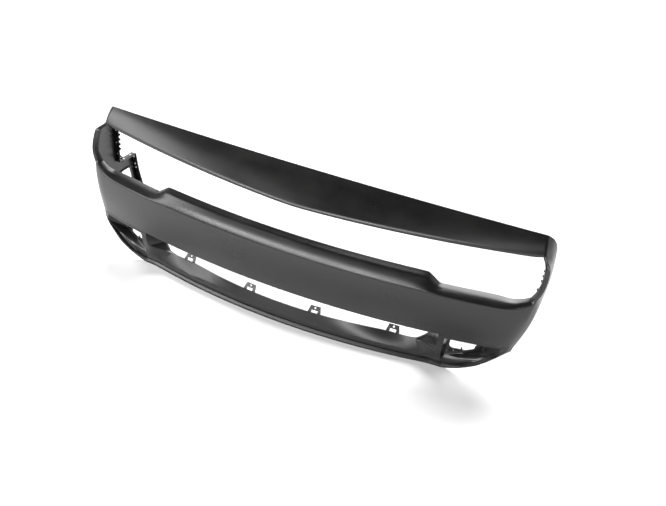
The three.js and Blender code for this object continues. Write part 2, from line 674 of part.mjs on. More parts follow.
/** Upright tab with a window and an eye, rooted in the lip behind the sill. */
function grilleTab(x) {
  const outline = new THREE.Shape([
    new THREE.Vector2(-TAB.base / 2, 0), new THREE.Vector2(TAB.base / 2, 0),
    new THREE.Vector2(TAB.tip / 2, TAB.reach), new THREE.Vector2(-TAB.tip / 2, TAB.reach),
  ]);
  const half = TAB.window / 2;
  outline.holes.push(new THREE.Path([
    new THREE.Vector2(-half, TAB.rim), new THREE.Vector2(-half, TAB.rim + TAB.windowDepth),
    new THREE.Vector2(half, TAB.rim + TAB.windowDepth), new THREE.Vector2(half, TAB.rim),
  ]));
  const eye = new THREE.Path();
  eye.absarc(0, TAB.reach - 2 * TAB.hole, TAB.hole, 0, 2 * Math.PI, true);
  outline.holes.push(eye);
  const root = sillPoint(x);
  const ahead = sillPoint(x + 1);
  const turn = Math.atan2(ahead.y - root.y, 1);
  const place = root.add(v3(0, TAB_SETBACK, 1 - SILL_LIP));
  return solid(moved(plate(outline, TAB.thickness), place, new THREE.Euler(TAB_TILT, 0, turn, 'ZXY')));
}

// ---------- clip rail on the fender seam ----------

const RAIL_THICK = 2.5;
const RAIL_WIDTH = 20;
const RAIL_TOP_DROP = 112;
const RAIL_BOTTOM_DROP = 262;
const TOOTH_PITCH = 22;
const TOOTH_REACH = 8;
const REST_PAD = { drop: 210, inboard: 12, width: 12, length: 16, rise: 1.5 };  // raised pad on the rail
const SEAM_TILT = Math.atan(SEAM_RAKE);

/** Unit vector square to the seam flange, pointing rearwards. */
const seamNormal = v3(0, Math.cos(SEAM_TILT), Math.sin(SEAM_TILT));
const seamDown = v3(0, Math.sin(SEAM_TILT), -Math.cos(SEAM_TILT));

/** Turns a flat outline (x across, y down the seam) into the seam flange's plane. */
function ontoPlane(geometry, origin, down, normal) {
  const across = new THREE.Vector3().crossVectors(down, normal);
  return geometry.applyMatrix4(new THREE.Matrix4().makeBasis(across, down, normal).setPosition(origin));
}

/** Seam edge's distance from the middle at a drop, measured to a point inboard of it. */
function seamX(drop, inboard) {
  return seamPoint(drop).x - inboard;
}

/** Toothed outline of the rail, as x against distance down the seam from its top. */
function railOutline() {
  const scale = Math.cos(SEAM_TILT);
  const at = (down, inboard) => new THREE.Vector2(seamX(RAIL_TOP_DROP + down * scale, inboard), down);
  const length = (RAIL_BOTTOM_DROP - RAIL_TOP_DROP) / scale;
  const outer = [at(length, 4), at(length / 2, 4), at(0, 4)];
  const teeth = [];
  const count = Math.floor((length - 30) / TOOTH_PITCH);
  for (let i = 0; i < count; i += 1) {
    const start = 6 + i * TOOTH_PITCH;
    teeth.push(at(start, RAIL_WIDTH), at(start + 4, RAIL_WIDTH + TOOTH_REACH));
    teeth.push(at(start + 9, RAIL_WIDTH + TOOTH_REACH), at(start + TOOTH_PITCH - 5, RAIL_WIDTH));
  }
  const lobe = [
    at(length - 20, RAIL_WIDTH), at(length - 13, RAIL_WIDTH + 12), at(length - 2, RAIL_WIDTH + 9),
  ];
  const outline = new THREE.Shape([...outer, at(0, RAIL_WIDTH), ...teeth, ...lobe].reverse());
  const eye = new THREE.Path();
  const centre = at(length - 9, RAIL_WIDTH + 2);
  eye.absarc(centre.x, centre.y, 3, 0, 2 * Math.PI, true);
  outline.holes.push(eye);
  return outline;
}

/** Point on the rear face of the seam flange. */
function seamFace(drop, inboard) {
  const point = seamPoint(drop);
  return v3(point.x - inboard, point.y, point.z);
}

/** Toothed rail on the back of the seam flange, with a pad that the fender's edge rests on. */
function railSolid() {
  const { drop, inboard, width, length, rise } = REST_PAD;
  const top = seamPoint(RAIL_TOP_DROP);
  const origin = v3(0, top.y, top.z).addScaledVector(seamNormal, GAP + RAIL_THICK / 2);
  const padDown = (drop - RAIL_TOP_DROP) / Math.cos(SEAM_TILT);
  const pad = new THREE.BoxGeometry(width, length, RAIL_THICK + rise);
  pad.translate(seamX(drop, inboard), padDown, rise / 2);
  return solid(ontoPlane(plate(railOutline(), RAIL_THICK), origin, seamDown, seamNormal))
    .add(solid(ontoPlane(pad, origin, seamDown, seamNormal)));
}

// ---------- wheel-arch bracket ----------

const BRACKET_THICK = 2.5;
const BRACKET_WIDTH = 17;
const BRACKET_INSET = SKIN + 2;
const ARCH_TILT = Math.atan(ARCH_LEAN);
const archNormal = v3(0, Math.cos(ARCH_TILT), Math.sin(ARCH_TILT));
const archDown = v3(0, Math.sin(ARCH_TILT), -Math.cos(ARCH_TILT));

function archPoint(drop, inboard) {
  const y = ARCH_DEPTH + ARCH_LEAN * (drop - SHOULDER_DROP);
  return sidePoint(y, drop).add(v3(-inboard, 0, 0));
}

function shoulderPoint(y, inboard) {
  return sidePoint(y, SHOULDER_DROP).add(v3(-inboard, 0, 0));
}

const ARM_START = SEAM_Y_AT_SHOULDER + 12;
const LEG_BOTTOM_DROP = SIDE_SEAM_DROP - 12;

/** Upright leg against the arch flange's front face and an arm under the shoulder flange. */
function bracketSolid() {
  const offset = -(SKIN + GAP + BRACKET_THICK / 2);
  const legTop = SHOULDER_DROP + SKIN + GAP;
  const scale = Math.cos(ARCH_TILT);
  const at = (drop, inboard) => new THREE.Vector2(archPoint(drop, inboard).x, (drop - SHOULDER_DROP) / scale);
  const middle = (legTop + LEG_BOTTOM_DROP) / 2;
  const inner = BRACKET_INSET + BRACKET_WIDTH;
  const leg = new THREE.Shape([
    at(legTop, BRACKET_INSET), at(legTop, inner), at(middle, inner), at(LEG_BOTTOM_DROP, inner),
    at(LEG_BOTTOM_DROP, BRACKET_INSET), at(middle, BRACKET_INSET),
  ]);
  const corner = archPoint(SHOULDER_DROP, 0);
  const origin = v3(0, corner.y, corner.z).addScaledVector(archNormal, offset);
  const upright = solid(ontoPlane(plate(leg, BRACKET_THICK), origin, archDown, archNormal));

  const armEnd = ARCH_DEPTH - SKIN - GAP - 1;
  const side = (y, inboard) => new THREE.Vector2(shoulderPoint(y, inboard).x, y);
  const arm = new THREE.Shape([
    side(ARM_START + 6, BRACKET_INSET), side(ARM_START, BRACKET_INSET + 6), side(ARM_START, inner - 5),
    side(ARM_START + 8, inner), side(armEnd, inner), side(armEnd, BRACKET_INSET),
  ]);
  const level = height(SHOULDER_DROP) - SKIN - GAP - BRACKET_THICK / 2;
  return upright.add(solid(plate(arm, BRACKET_THICK).translate(0, 0, level)));
}

// ---------- fog-lamp bezel ----------

const BEZEL_THICK = 2.5;
const wallTurn = Math.atan(WALL_SLOPE);

/** Height of the pocket's wall at a share of its own height, above the opening's middle column. */
function wallZ(share) {
  const top = height(CREASE_DROP + BEAM_DEPTH) - SEAM_GAP;
  return levelZ(top, bottomZ(FOG_X), share);
}

const FOG_TOP = wallZ(VALANCE_LEVELS[FOG_TOP_ROW].share);
const FOG_BOTTOM = wallZ(VALANCE_LEVELS[FOG_BOTTOM_ROW].share);
const WALL_TOP = wallZ(VALANCE_LEVELS[2].share);

/** Pocket wall's own frame: x along the wall, y up, z rearwards out of its back face. */
function ontoWall(geometry, rearward) {
  const along = v3(Math.cos(wallTurn), Math.sin(wallTurn), 0);
  const up = v3(0, 0, 1);
  const back = v3(-Math.sin(wallTurn), Math.cos(wallTurn), 0);
  const origin = v3(FOG_X, wallY(FOG_X), 0).addScaledVector(back, rearward);
  const basis = new THREE.Matrix4().makeBasis(along.negate(), up, back);
  return geometry.applyMatrix4(basis.setPosition(origin));
}

const BEZEL = { half: FOG_HALF + 11, holeHalf: FOG_HALF - 4, scallops: 3, peg: 5 };
const BEZEL_TOP = WALL_TOP - 6;
const BEZEL_BOTTOM = FOG_BOTTOM - 11;
const BEZEL_CORNER = 6;

/** Opening with a rounded inner corner, a small peg on its sill and a scalloped outer edge. */
function fogOpening() {
  const path = new THREE.Path();
  const half = BEZEL.holeHalf;
  const low = FOG_BOTTOM + 3;
  const high = FOG_TOP - 3;
  const round = 20;
  const bay = (high - low - 8) / BEZEL.scallops;
  path.moveTo(-half, high);
  for (let i = 0; i < BEZEL.scallops; i += 1) {
    const start = high - i * bay;
    path.quadraticCurveTo(-half - 3 + 4 * i, start - bay / 2, -half + 5 * (i + 1), start - bay);
  }
  path.lineTo(-half + 26, low);
  path.lineTo(0, low);
  path.lineTo(0, low + 9);
  path.lineTo(BEZEL.peg, low + 9);
  path.lineTo(BEZEL.peg, low);
  path.lineTo(half - round, low);
  path.quadraticCurveTo(half, low, half, low + round);
  path.lineTo(half, high);
  return path;
}

/** Rounded plate behind the pocket's wall with the fog lamp's opening. */
function bezelSolid() {
  const r = BEZEL_CORNER;
  const { half } = BEZEL;
  const [top, bottom] = [BEZEL_TOP, BEZEL_BOTTOM];
  const outline = new THREE.Shape();
  outline.moveTo(-half + r, bottom);
  outline.lineTo(half - r, bottom);
  outline.quadraticCurveTo(half, bottom, half, bottom + r);
  outline.lineTo(half, top - r);
  outline.quadraticCurveTo(half, top, half - r, top);
  outline.lineTo(-half + r, top);
  outline.quadraticCurveTo(-half, top, -half, top - r);
  outline.lineTo(-half, bottom + r);
  outline.quadraticCurveTo(-half, bottom, -half + r, bottom);
  outline.holes.push(fogOpening());
  return solid(ontoWall(plate(outline, BEZEL_THICK), VALANCE_SKIN + GAP + BEZEL_THICK / 2));
}

// ---------- fasteners ----------

const FASTENER_SIDES = 8;
const HOLE_CLEARANCE = 0.6;
const DRILL_OVERRUN = 4;          // how far a drill passes beyond both ends of a stack

/** Round fastener turned from a half profile: head below, shank, and a flared end above. */
function turned(profile) {
  const points = profile.map(([r, y]) => new THREE.Vector2(r, y));
  return new THREE.LatheGeometry(points, FASTENER_SIDES);
}

/** Head, shank through a stack of the given thickness, and an end wider than its hole or plain. */
function fastener({ head, headHigh, shank, stack, end, endHigh }) {
  const top = stack + GAP;
  const tip = -GAP - headHigh;
  const profile = [[0, tip], [head * 0.7, tip], [head, -GAP - headHigh * 0.4], [head, -GAP], [shank, -GAP]];
  if (end > shank) {
    profile.push([shank, top], [end, top], [end * 0.55, top + endHigh], [0, top + endHigh]);
  } else {
    profile.push([shank, top + endHigh], [0, top + endHigh]);
  }
  return turned(profile);
}

/** Places a turned piece with its axis from a point along a direction. */
function aimed(geometry, from, direction) {
  const turn = new THREE.Quaternion().setFromUnitVectors(v3(0, 1, 0), direction.clone().normalize());
  return geometry.applyMatrix4(new THREE.Matrix4().compose(from, turn, v3(1, 1, 1)));
}

const RIVET = { head: 5, headHigh: 2, shank: 2.3, end: 3.6, endHigh: 2.4 };
const PIN = { head: 6, headHigh: 2.4, shank: 3, end: 4.4, endHigh: 6 };
const SCREW = { head: 4.6, headHigh: 3, shank: 2, end: 2, endHigh: -0.8 };

const PIN_X = INTAKE_HALF + 0.4 * PILLAR_WIDTH;   // middle of the pillar's flange

/** Every fastener on the right side: name, size, start of its stack, direction and stack height. */
function fasteners() {
  const list = [];
  const railBack = GAP + RAIL_THICK;
  [128, 184, 236].forEach((drop, i) => list.push({
    name: `rail_rivet_${i + 1}`,
    size: RIVET,
    from: seamFace(drop, 11).addScaledVector(seamNormal, railBack),
    direction: seamNormal.clone().negate(),
    stack: railBack + SKIN,
  }));
  [0.22, 0.7].forEach((share, i) => list.push({
    name: `bracket_rivet_${i + 1}`,
    size: RIVET,
    from: shoulderPoint(lerp(ARM_START, ARCH_DEPTH, share), 12),
    direction: v3(0, 0, -1),
    stack: SKIN + GAP + BRACKET_THICK,
  }));
  list.push({
    name: 'bracket_rivet_3',
    size: RIVET,
    from: archPoint(LEG_BOTTOM_DROP - 14, 13),
    direction: archNormal.clone().negate(),
    stack: SKIN + GAP + BRACKET_THICK,
  });
  const seamStack = VALANCE_SKIN + SEAM_GAP + SKIN;
  const pinAt = (point) => point.add(v3(0, 0, -SEAM_GAP - VALANCE_SKIN));
  list.push({
    name: 'seam_pin_1',
    size: PIN,
    from: pinAt(v3(PIN_X, beamEdge(PIN_X) + 13, height(CREASE_DROP + BEAM_DEPTH))),
    direction: v3(0, 0, 1),
    stack: seamStack,
  });
  [0.2, 0.5, 0.82].forEach((share, i) => list.push({
    name: `seam_pin_${i + 2}`,
    size: PIN,
    from: pinAt(sidePoint(lerp(SIDE_Y, ARCH_DEPTH, share), SIDE_SEAM_DROP).add(v3(-13, 0, 0))),
    direction: v3(0, 0, 1),
    stack: seamStack,
  }));
  const back = v3(-Math.sin(wallTurn), Math.cos(wallTurn), 0);
  const along = v3(Math.cos(wallTurn), Math.sin(wallTurn), 0);
  [[-1, 1], [1, 1], [-1, -1], [1, -1]].forEach(([side, level], i) => {
    const z = level > 0 ? (BEZEL_TOP + FOG_TOP) / 2 : FOG_BOTTOM - 6;
    const rear = VALANCE_SKIN + GAP + BEZEL_THICK;
    list.push({
      name: `bezel_screw_${i + 1}`,
      size: SCREW,
      from: v3(FOG_X, wallY(FOG_X), z).addScaledVector(along, side * 30).addScaledVector(back, rear),
      direction: back.clone().negate(),
      stack: rear,
    });
  });
  return list;
}

/** Removes the holes for the fasteners that a piece carries. */
function drilled(body, list) {
  let result = body;
  for (const { size, from, direction, stack } of list) {
    const start = from.clone().addScaledVector(direction, -DRILL_OVERRUN);
    const finish = from.clone().addScaledVector(direction, stack + DRILL_OVERRUN);
    const radius = size.shank + HOLE_CLEARANCE;
    result = result.subtract(drill(start, finish, radius));
    result = result.subtract(drill(mirrorPoint(start), mirrorPoint(finish), radius));
  }
  return result;
}

// ---------- pieces ----------

const LINER_HOLE_DROPS = [290, 322, 340];
const LINER_HOLE_RADIUS = 3.6;

const SATIN_BLACK = { color: 0x1c1c1d, roughness: 0.42, metalness: 0 };
const DARK_PLASTIC = { color: 0x161617, roughness: 0.6, metalness: 0 };
const FASTENER_BLACK = { color: 0x0e0e0f, roughness: 0.5, metalness: 0 };
const ZINC = { color: 0x9a9c9e, roughness: 0.35, metalness: 1 };

const part = new THREE.Group();
part.position.set(0, -MIDDLE_Y, 0);

function addPiece(name, geometry, finish) {
  const mesh = new THREE.Mesh(geometry, new THREE.MeshStandardMaterial(finish));
  mesh.name = name;
  part.add(mesh);
}

/** Adds a right-hand solid and its mirror image. */
function addPair(name, body, finish) {
  addPiece(`${name}_right`, geometryOf(body), finish);
  addPiece(`${name}_left`, geometryOf(body.mirror([1, 0, 0])), finish);
}

const { sheet: coverShape, rows: cover } = coverSheet();
const hardware = fasteners();
const named = (start) => hardware.filter(({ name }) => name.startsWith(start));
const linerHoles = LINER_HOLE_DROPS.map((drop) => ({
  size: { shank: LINER_HOLE_RADIUS },
  from: archPoint(drop, 13),
  direction: archNormal.clone().negate(),
  stack: SKIN + GAP + BRACKET_THICK,
}));

const coverSolid = drilled(solid(coverShape.thicken(SKIN)), [
  ...named('rail'), ...named('bracket'), ...named('seam'), ...linerHoles,
]);
addPiece('cover_skin', geometryOf(coverSolid), SATIN_BLACK);

let valance = solid(valanceSheet(cover[LAST_ROW]).thicken(VALANCE_SKIN));
for (const x of TAB_XS) {
  const tab = grilleTab(x);
  valance = valance.add(tab).add(tab.mirror([1, 0, 0]));
}
valance = drilled(valance, [...named('seam'), ...named('bezel')]);
addPiece('lower_valance', geometryOf(valance), SATIN_BLACK);

addPair('clip_rail', drilled(railSolid(), named('rail')), DARK_PLASTIC);
addPair('arch_bracket', drilled(bracketSolid(), [...named('bracket'), ...linerHoles]), DARK_PLASTIC);
addPair('fog_bezel', drilled(bezelSolid(), named('bezel')), DARK_PLASTIC);
for (const { name, size, from, direction, stack } of hardware) {
  const finish = name.startsWith('seam') ? FASTENER_BLACK : ZINC;
  addPair(name, solid(aimed(fastener({ ...size, stack }), from, direction)), finish);
}

export default part;
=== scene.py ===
"""Looks of a front bumper cover: satin skins, black brackets, plastic and zinc fasteners."""

import logging
import math
from dataclasses import dataclass
from enum import Enum

import bmesh
import bpy
from mathutils import Matrix, Vector
from mathutils.bvhtree import BVHTree


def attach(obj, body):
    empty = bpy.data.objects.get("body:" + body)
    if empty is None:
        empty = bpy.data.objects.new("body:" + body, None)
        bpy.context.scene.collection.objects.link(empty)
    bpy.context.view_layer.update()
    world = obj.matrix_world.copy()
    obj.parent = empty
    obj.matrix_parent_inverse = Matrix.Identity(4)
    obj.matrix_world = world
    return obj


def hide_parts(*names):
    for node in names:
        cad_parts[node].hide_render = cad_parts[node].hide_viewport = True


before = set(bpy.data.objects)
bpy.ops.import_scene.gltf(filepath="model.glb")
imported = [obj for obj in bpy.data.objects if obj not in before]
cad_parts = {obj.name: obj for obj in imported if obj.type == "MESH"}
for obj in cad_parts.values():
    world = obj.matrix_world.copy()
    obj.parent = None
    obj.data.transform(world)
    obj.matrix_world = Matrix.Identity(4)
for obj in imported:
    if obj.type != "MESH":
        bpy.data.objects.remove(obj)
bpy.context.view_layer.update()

LOG = logging.getLogger("bumper_cover")
MM = 0.001
COVER_WALL = 3.0 * MM
VALANCE_WALL = 2.8 * MM
MERGE_DISTANCE = 0.01 * MM  # vertices closer than this are one
SLIVER_LENGTH = 0.02 * MM  # edges shorter than this are closed up
FLAT_TURN = math.radians(1.0)  # faces that turn less than this lie in one plane
PAIR_TURN = math.radians(40)  # triangles that turn less than this become one four-sided face
BEVEL_TURN = math.radians(40)  # edges of a flat moulding that turn more than this are softened
CRISP_TURN = math.radians(50)  # edges that break the shading after softening
FASTENER_TURN = math.radians(55)  # edges of a fastener that keep a tight radius
FASTENER_CREASE = 0.7
FASTENER_LEVELS = 2
WALL_REACH = 2.2  # how many walls deep the search for a face's far side goes
DUST_COLOUR = (0.16, 0.15, 0.135, 1.0)
COAT_ROUGHNESS = 0.25
WHITE = (1.0, 1.0, 1.0, 1.0)


class Side(Enum):
    """The two mirrored sides of the cover, as the frame's node names end."""

    RIGHT = "right"
    LEFT = "left"


class Slot(Enum):
    """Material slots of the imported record."""

    COVER = "cover_satin_black"
    VALANCE = "valance_satin_black"
    BRACKET = "bracket_black"
    PIN = "pin_black"
    ZINC = "zinc_fastener"


# ---------- node tree helpers ----------


@dataclass
class NodeBench:
    """A node tree being wired.

    Attributes:
        tree: The material, group or world tree that takes the nodes.
    """

    tree: bpy.types.NodeTree

    def add(self, kind: str, **settings: object) -> bpy.types.Node:
        """Adds a node.

        Args:
            kind: Blender's node type name.
            **settings: Node properties to set.

        Returns:
            The new node.
        """
        node = self.tree.nodes.new(kind)
        for name, value in settings.items():
            setattr(node, name, value)
        return node

    def link(self, source: bpy.types.NodeSocket, target: bpy.types.NodeSocket) -> None:
        """Joins an output socket to an input socket.

        Args:
            source: The output socket.
            target: The input socket.
        """
        self.tree.links.new(source, target)

    def feed(self, target: bpy.types.NodeSocket, value: object) -> None:
        """Links a socket, or writes a plain value, into an input socket.

        Args:
            target: The input socket.
            value: An output socket, a number or a colour.
        """
        if isinstance(value, bpy.types.NodeSocket):
            self.link(value, target)
        else:
            target.default_value = value

    def math(self, operation: str, first: object, second: object = 0.0) -> bpy.types.NodeSocket:
        """Adds a Math node.

        Args:
            operation: The node's operation.
            first: First operand, a socket or a number.
            second: Second operand, a socket or a number.

        Returns:
            The result socket.
        """
        node = self.add("ShaderNodeMath", operation=operation)
        self.feed(node.inputs[0], first)
        self.feed(node.inputs[1], second)
        return node.outputs[0]

    def ramp(
        self, value: object, low: float, high: float, start: float = 0.0, end: float = 1.0
    ) -> bpy.types.NodeSocket:
        """Maps a value smoothly from one range to another.

        Args:
            value: The socket or number to map.
            low: Input that gives start.
            high: Input that gives end.
            start: Result at low.
            end: Result at high.

        Returns:
            The mapped socket.
        """
        node = self.add("ShaderNodeMapRange", interpolation_type="SMOOTHSTEP")
        self.feed(node.inputs[0], value)
        for slot, number in zip(range(1, 5), (low, high, start, end)):
            node.inputs[slot].default_value = number
        return node.outputs[0]

    def noise(
        self, place: object, scale: float, detail: float = 2.0, rough: float = 0.5
    ) -> bpy.types.NodeSocket:
        """Adds a noise texture.

        Args:
            place: Coordinate socket.
            scale: Pattern scale per metre.
            detail: Octaves.
            rough: Weight of the finer octaves.

        Returns:
            The noise value socket.
        """
        node = self.add("ShaderNodeTexNoise")
        self.feed(node.inputs["Vector"], place)
        node.inputs["Scale"].default_value = scale
        node.inputs["Detail"].default_value = detail
        node.inputs["Roughness"].default_value = rough
        return node.outputs["Fac"]

    def stretched(self, place: object, scale: tuple[float, float, float]) -> bpy.types.NodeSocket:
        """Scales a coordinate by its own axes.

        Args:
            place: Coordinate socket.
            scale: Factor along X, Y and Z.

        Returns:
            The scaled coordinate socket.
        """
        node = self.add("ShaderNodeMapping")
        self.feed(node.inputs["Vector"], place)
        node.inputs["Scale"].default_value = scale
        return node.outputs[0]

    def blend(self, share: object, first: object, second: object) -> bpy.types.NodeSocket:
        """Mixes two colours.

        Args:
            share: Share of the second colour.
            first: Colour at share 0.
            second: Colour at share 1.

        Returns:
            The mixed colour socket.
        """
        node = self.add("ShaderNodeMix", data_type="RGBA")
        self.feed(node.inputs[0], share)
        self.feed(node.inputs[6], first)
        self.feed(node.inputs[7], second)
        return node.outputs[2]


def new_group(name: str, inputs: dict[str, float], outputs: dict[str, str]) -> bpy.types.NodeTree:
    """Starts a shader node group with named sockets.

    Args:
        name: The group's name.
        inputs: Value inputs with their defaults.
        outputs: Output names with their socket types.

    Returns:
        The group, with its input and output nodes in place.
    """
    group = bpy.data.node_groups.new(name, "ShaderNodeTree")
    group.interface.new_socket("Vector", in_out="INPUT", socket_type="NodeSocketVector")
    for label, value in inputs.items():
        socket = group.interface.new_socket(label, in_out="INPUT", socket_type="NodeSocketFloat")
        socket.default_value = value
    for label, kind in outputs.items():
        group.interface.new_socket(label, in_out="OUTPUT", socket_type=kind)
    group.nodes.new("NodeGroupInput")
    group.nodes.new("NodeGroupOutput")
    return group


class SurfaceEffects:
    """Shared surface effects, each built once as a node group."""

    def __init__(self) -> None:
        """Builds the groups."""
        self.peel = self._peel()
        self.rub = self._rub()
        self.dust = self._dust()
        self.grain = self._grain()

    @staticmethod
    def _ends(group: bpy.types.NodeTree) -> tuple[bpy.types.Node, bpy.types.Node]:
        """Finds the group's two ends.

        Args:
            group: The node group.

        Returns:
            The group's input and output nodes.
        """
        return group.nodes["Group Input"], group.nodes["Group Output"]

    def _peel(self) -> bpy.types.NodeTree:
        """Builds the sprayed primer's faint orange peel and its slow gloss drift.

        Returns:
            A group with Height and Drift outputs.
        """
        floats = {"Height": "NodeSocketFloat", "Drift": "NodeSocketFloat"}
        group = new_group("primer_peel", {"Fine": 1.0}, floats)
        bench, (start, end) = NodeBench(group), self._ends(group)
        place = start.outputs["Vector"]
        fine = bench.noise(place, 520.0, 2.0)
        broad = bench.noise(place, 130.0, 2.0)
        both = bench.math("ADD", bench.math("MULTIPLY", fine, start.outputs["Fine"]), broad)
        bench.link(both, end.inputs["Height"])
        slow = bench.noise(bench.stretched(place, (1.0, 1.4, 2.6)), 5.0, 4.0, 0.6)
        bench.link(bench.ramp(slow, 0.3, 0.7), end.inputs["Drift"])
        return group

    def _rub(self) -> bpy.types.NodeTree:
        """Builds the broken, faint rub along outer edges.

        Returns:
            A group with a Mask output.
        """
        group = new_group("edge_rub", {"Amount": 1.0}, {"Mask": "NodeSocketFloat"})
        bench, (start, end) = NodeBench(group), self._ends(group)
        point = bench.add("ShaderNodeNewGeometry").outputs["Pointiness"]
        edge = bench.ramp(point, 0.52, 0.62)
        broken = bench.ramp(bench.noise(start.outputs["Vector"], 90.0, 4.0, 0.7), 0.42, 0.66)
        mask = bench.math("MULTIPLY", edge, broken)
        bench.link(bench.math("MULTIPLY", mask, start.outputs["Amount"]), end.inputs["Mask"])
        return group

    def _dust(self) -> bpy.types.NodeTree:
        """Builds the light dust that settles on upward faces.

        Returns:
            A group with a Mask output.
        """
        group = new_group("settled_dust", {"Amount": 1.0}, {"Mask": "NodeSocketFloat"})
        bench, (start, end) = NodeBench(group), self._ends(group)
        normal = bench.add("ShaderNodeNewGeometry").outputs["Normal"]
        parts = bench.add("ShaderNodeSeparateXYZ")
        bench.link(normal, parts.inputs[0])
        upward = bench.ramp(parts.outputs["Z"], 0.2, 1.0)
        cloud = bench.ramp(bench.noise(start.outputs["Vector"], 9.0, 6.0, 0.65), 0.35, 0.75)
        specks = bench.ramp(bench.noise(start.outputs["Vector"], 900.0, 1.0), 0.66, 0.74)
        film = bench.math("ADD", bench.math("MULTIPLY", cloud, 0.7), bench.math("MULTIPLY", specks, 0.5))
        mask = bench.math("MULTIPLY", bench.math("MULTIPLY", upward, film), start.outputs["Amount"])
        bench.link(mask, end.inputs["Mask"])
        return group

    def _grain(self) -> bpy.types.NodeTree:
        """Builds the spark-eroded mould grain and flow marks of bare plastic.

        Returns:
            A group with Height and Flow outputs.
        """
        floats = {"Height": "NodeSocketFloat", "Flow": "NodeSocketFloat"}
        group = new_group("mould_grain", {"Coarse": 1.0}, floats)
        bench, (start, end) = NodeBench(group), self._ends(group)
        place = start.outputs["Vector"]
        pits = bench.noise(place, 700.0, 3.0, 0.7)
        lumps = bench.math("MULTIPLY", bench.noise(place, 240.0, 2.0), start.outputs["Coarse"])
        bench.link(bench.math("ADD", pits, lumps), end.inputs["Height"])
        swirl = bench.noise(bench.stretched(place, (0.6, 3.0, 7.0)), 6.0, 5.0, 0.6)
        bench.link(bench.ramp(swirl, 0.35, 0.68), end.inputs["Flow"])
        return group


@dataclass(frozen=True)
class Finish:
    """A moulded plastic or plated finish.

    Attributes:
        name: Material name.
        dark: Colour in the deeper areas.
        light: Colour where the tone drifts lighter.
        rubbed: Colour of rubbed edges.
        gloss: Roughness of the smoothest and roughest areas.
        bump: Height of the surface pattern in metres.
        grained: True for mould grain, False for sprayed primer.
        rub: Strength of the edge rub.
        dust: Strength of the dust.
        metallic: Metal share.
        coat: Weight of the clear top coat.
    """

    name: str
    dark: tuple[float, float, float]
    light: tuple[float, float, float]
    rubbed: tuple[float, float, float]
    gloss: tuple[float, float]
    bump: float
    grained: bool = False
    rub: float = 0.5
    dust: float = 0.1
    metallic: float = 0.0
    coat: float = 0.0

    def material(self, effects: SurfaceEffects) -> bpy.types.Material:
        """Builds the material.

        Args:
            effects: The shared node groups.

        Returns:
            The finished material.
        """
        made = bpy.data.materials.new(self.name)
        made.use_nodes = True
        bench = NodeBench(made.node_tree)
        shader = made.node_tree.nodes["Principled BSDF"]
        place = bench.add("ShaderNodeTexCoord").outputs["Object"]
        pattern = bench.add("ShaderNodeGroup", node_tree=effects.grain if self.grained else effects.peel)
        bench.link(place, pattern.inputs["Vector"])
        drift = pattern.outputs[1]
        rub = bench.add("ShaderNodeGroup", node_tree=effects.rub)
        rub.inputs["Amount"].default_value = self.rub
        bench.link(place, rub.inputs["Vector"])
        dust = bench.add("ShaderNodeGroup", node_tree=effects.dust)
        dust.inputs["Amount"].default_value = self.dust
        bench.link(place, dust.inputs["Vector"])

        tone = bench.blend(drift, (*self.dark, 1.0), (*self.light, 1.0))
        worn = bench.blend(rub.outputs["Mask"], tone, (*self.rubbed, 1.0))
        dusty = bench.blend(dust.outputs["Mask"], worn, DUST_COLOUR)
        bench.link(dusty, shader.inputs["Base Color"])

        smooth, rough = self.gloss
        spread = bench.math("MULTIPLY", drift, rough - smooth)
        matt = bench.math("MULTIPLY", dust.outputs["Mask"], 0.5)
        polish = bench.math("MULTIPLY", rub.outputs["Mask"], -0.08)
        total = bench.math("ADD", bench.math("ADD", spread, smooth), bench.math("ADD", matt, polish))
        bench.link(total, shader.inputs["Roughness"])

        bump = bench.add("ShaderNodeBump")
        bump.inputs["Strength"].default_value = 1.0
        bump.inputs["Distance"].default_value = self.bump
        bench.link(pattern.outputs["Height"], bump.inputs["Height"])
        bench.link(bump.outputs["Normal"], shader.inputs["Normal"])
        shader.inputs["Metallic"].default_value = self.metallic
        shader.inputs["Coat Weight"].default_value = self.coat
        shader.inputs["Coat Roughness"].default_value = COAT_ROUGHNESS
        return made


SATIN_PRIMER = Finish(
    name="satin_black_primer",
    dark=(0.0050, 0.0049, 0.0051),
    light=(0.0074, 0.0070, 0.0069),
    rubbed=(0.034, 0.032, 0.031),
    gloss=(0.27, 0.33),
    bump=0.00002,
    rub=0.35,
    dust=0.05,
)
RAW_BACK = Finish(
    name="bare_moulded_back",
    dark=(0.010, 0.010, 0.0105),
    light=(0.017, 0.0165, 0.016),
    rubbed=(0.045, 0.044, 0.043),
    gloss=(0.5, 0.64),
    bump=0.00006,
    grained=True,
    rub=0.4,
    dust=0.12,
)
BRACKET_NYLON = Finish(
    name="black_bracket_nylon",
    dark=(0.008, 0.008, 0.0085),
    light=(0.015, 0.015, 0.0155),
    rubbed=(0.06, 0.058, 0.055),
    gloss=(0.42, 0.55),
    bump=0.00005,
    grained=True,
    rub=0.6,
    dust=0.1,
)
PIN_NYLON = Finish(
    name="push_pin_nylon",
    dark=(0.006, 0.006, 0.0065),
    light=(0.011, 0.011, 0.011),
    rubbed=(0.05, 0.05, 0.05),
    gloss=(0.3, 0.42),
    bump=0.00002,
    grained=True,
    rub=0.6,
    dust=0.06,
)
ZINC_PLATE = Finish(
    name="zinc_plate",
    dark=(0.42, 0.42, 0.41),
    light=(0.62, 0.62, 0.60),
    rubbed=(0.75, 0.75, 0.74),
    gloss=(0.28, 0.46),
    bump=0.00001,
    grained=True,
    rub=0.5,
    dust=0.12,
    metallic=1.0,
)


# ---------- meshes from the frame ----------


